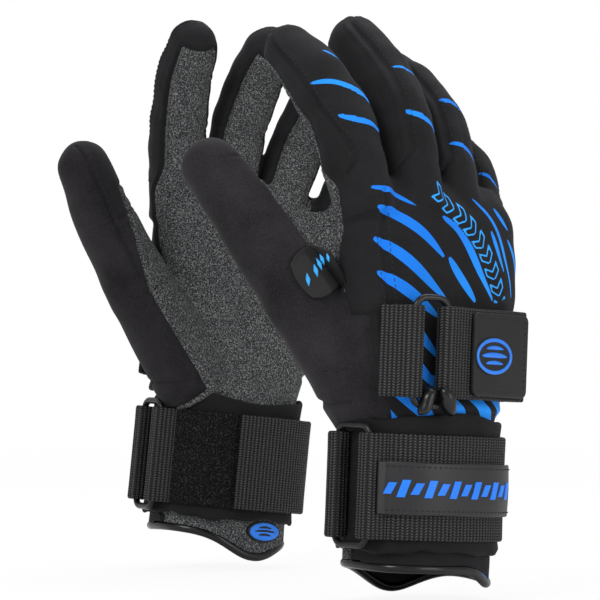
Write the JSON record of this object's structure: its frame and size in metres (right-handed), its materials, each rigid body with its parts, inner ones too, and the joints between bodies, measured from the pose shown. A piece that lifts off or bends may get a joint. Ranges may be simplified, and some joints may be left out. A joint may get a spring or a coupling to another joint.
{
  "type": "water ski towing gloves",
  "caption": "Pair of worn-shape water-ski gloves with knit palms, printed stretch backs, ring-and-webbing hand and wrist straps, and jointed finger sleeves.",
  "frame": {"origin": "centre of the right glove's hand opening, at the wrist end", "axes": "+Z from the right glove's hand opening towards its fingertips (leaned 3 degrees), -Y towards the viewer who sees the back of the right glove and the palm of the left glove, -X towards the left glove"},
  "size_m": [0.2072, 0.2712, 0.2541],
  "materials": {
    "stretch_fabric": "matte",
    "palm_knit": "matte",
    "thumb_suede": "matte",
    "neoprene_wrap": "matte",
    "webbing": "matte",
    "loop_pile": "matte",
    "patent_binding": "gloss",
    "ring_plastic": "satin",
    "soft_rubber": "matte",
    "label_film": "satin",
    "badge_rubber": "satin"
  },
  "bodies": {
    "right_glove": {"right_hand_back": "stretch_fabric", "right_hand_palm": "palm_knit", "right_thumb_base": "thumb_suede", "right_thumb_patch": "soft_rubber", "right_wrist_wrap": "neoprene_wrap", "right_edge_binding": "patent_binding", "right_strap_anchor": "webbing", "right_hand_ring": "ring_plastic", "right_hand_strap": "webbing", "right_pile_strip": "loop_pile", "right_wrist_ring": "ring_plastic", "right_wrist_strap": "webbing", "right_label_panel": "label_film"},
    "right_index_finger": {"right_index_back": "stretch_fabric", "right_index_gusset": "stretch_fabric", "right_index_palm": "palm_knit"},
    "right_middle_finger": {"right_middle_back": "stretch_fabric", "right_middle_gusset": "stretch_fabric", "right_middle_palm": "palm_knit"},
    "right_ring_finger": {"right_ring_back": "stretch_fabric", "right_ring_gusset": "stretch_fabric", "right_ring_palm": "palm_knit"},
    "right_little_finger": {"right_little_back": "stretch_fabric", "right_little_gusset": "stretch_fabric", "right_little_palm": "palm_knit"},
    "right_thumb_sleeve": {"right_thumb_tip": "thumb_suede"},
    "right_strap_tail": {"right_hand_strap_tail": "webbing", "right_pull_tab": "soft_rubber", "right_tab_badge": "badge_rubber"},
    "right_wrist_tail": {"right_wrist_strap_end": "webbing"},
    "left_glove": {"left_hand_back": "stretch_fabric", "left_hand_palm": "palm_knit", "left_thumb_base": "thumb_suede", "left_thumb_patch": "soft_rubber", "left_wrist_wrap": "neoprene_wrap", "left_edge_binding": "patent_binding", "left_strap_anchor": "webbing", "left_hand_ring": "ring_plastic", "left_hand_strap": "webbing", "left_pile_strip": "loop_pile", "left_wrist_ring": "ring_plastic", "left_wrist_strap": "webbing", "left_label_panel": "label_film"},
    "left_index_finger": {"left_index_back": "stretch_fabric", "left_index_gusset": "stretch_fabric", "left_index_palm": "palm_knit"},
    "left_middle_finger": {"left_middle_back": "stretch_fabric", "left_middle_gusset": "stretch_fabric", "left_middle_palm": "palm_knit"},
    "left_ring_finger": {"left_ring_back": "stretch_fabric", "left_ring_gusset": "stretch_fabric", "left_ring_palm": "palm_knit"},
    "left_little_finger": {"left_little_back": "stretch_fabric", "left_little_gusset": "stretch_fabric", "left_little_palm": "palm_knit"},
    "left_thumb_sleeve": {"left_thumb_tip": "thumb_suede"},
    "left_strap_tail": {"left_hand_strap_tail": "webbing", "left_pull_tab": "soft_rubber", "left_tab_badge": "badge_rubber"},
    "left_wrist_tail": {"left_wrist_strap_end": "webbing"}
  },
  "joints": [
    {"name": "right_index_bend", "type": "hinge", "parent": "right_glove", "child": "right_index_finger", "pos_m": [-0.01998, -0.01799, 0.15562], "axis": [-0.7413, -0.6675, -0.0698], "range_deg": [-22, 40], "stiffness_Nm_per_rad": 0.3},
    {"name": "right_middle_bend", "type": "hinge", "parent": "right_glove", "child": "right_middle_finger", "pos_m": [0.00039, -0.00234, 0.15728], "axis": [-0.7421, -0.6682, 0.0523], "range_deg": [-20, 40], "stiffness_Nm_per_rad": 0.3},
    {"name": "right_ring_bend", "type": "hinge", "parent": "right_glove", "child": "right_ring_finger", "pos_m": [0.01716, 0.01545, 0.154], "axis": [-0.7359, -0.6626, 0.1392], "range_deg": [-26, 40], "stiffness_Nm_per_rad": 0.3},
    {"name": "right_little_bend", "type": "hinge", "parent": "right_glove", "child": "right_little_finger", "pos_m": [0.03128, 0.03489, 0.14376], "axis": [-0.7211, -0.6493, 0.2419], "range_deg": [-34, 40], "stiffness_Nm_per_rad": 0.3},
    {"name": "right_thumb_bend", "type": "hinge", "parent": "right_glove", "child": "right_thumb_sleeve", "pos_m": [-0.04664, -0.01173, 0.12072], "axis": [-0.8083, -0.1736, -0.5626], "range_deg": [-8, 34], "stiffness_Nm_per_rad": 0.3},
    {"name": "right_hand_strap_open", "type": "hinge", "parent": "right_glove", "child": "right_strap_tail", "pos_m": [0.01289, -0.02734, 0.09659], "axis": [-0.0389, -0.035, -0.9986], "range_deg": [0, 110]},
    {"name": "right_wrist_strap_open", "type": "hinge", "parent": "right_glove", "child": "right_wrist_tail", "pos_m": [0.03061, 0.02614, 0.03795], "axis": [-0.0389, -0.035, -0.9986], "range_deg": [0, 100]},
    {"name": "left_index_bend", "type": "hinge", "parent": "left_glove", "child": "left_index_finger", "pos_m": [-0.10582, 0.1768, 0.15982], "axis": [0.8987, 0.4383, 0.0175], "range_deg": [-10, 40], "stiffness_Nm_per_rad": 0.3},
    {"name": "left_middle_bend", "type": "hinge", "parent": "left_glove", "child": "left_middle_finger", "pos_m": [-0.08362, 0.18985, 0.16013], "axis": [0.8939, 0.436, -0.1045], "range_deg": [-16, 40], "stiffness_Nm_per_rad": 0.3},
    {"name": "left_ring_bend", "type": "hinge", "parent": "left_glove", "child": "left_ring_finger", "pos_m": [-0.06103, 0.19864, 0.15558], "axis": [0.8823, 0.4303, -0.1908], "range_deg": [-24, 40], "stiffness_Nm_per_rad": 0.3},
    {"name": "left_little_bend", "type": "hinge", "parent": "left_glove", "child": "left_little_finger", "pos_m": [-0.03823, 0.2042, 0.14412], "axis": [0.8595, 0.4192, -0.2924], "range_deg": [-34, 40], "stiffness_Nm_per_rad": 0.3},
    {"name": "left_thumb_bend", "type": "hinge", "parent": "left_glove", "child": "left_thumb_sleeve", "pos_m": [-0.12155, 0.1551, 0.12444], "axis": [0.4823, 0.6839, 0.5474], "range_deg": [-8, 34], "stiffness_Nm_per_rad": 0.3},
    {"name": "left_hand_strap_open", "type": "hinge", "parent": "left_glove", "child": "left_strap_tail", "pos_m": [-0.10496, 0.20941, 0.09991], "axis": [0.0939, 0.0458, 0.9945], "range_deg": [0, 110]},
    {"name": "left_wrist_strap_open", "type": "hinge", "parent": "left_glove", "child": "left_wrist_tail", "pos_m": [-0.05156, 0.20443, 0.03879], "axis": [0.0939, 0.0458, 0.9945], "range_deg": [0, 100]},
    {"name": "left_glove_apart", "type": "slide", "parent": "right_glove", "child": "left_glove", "axis": [-1, 0, 0], "range_m": [0, 0.15]}
  ]
}
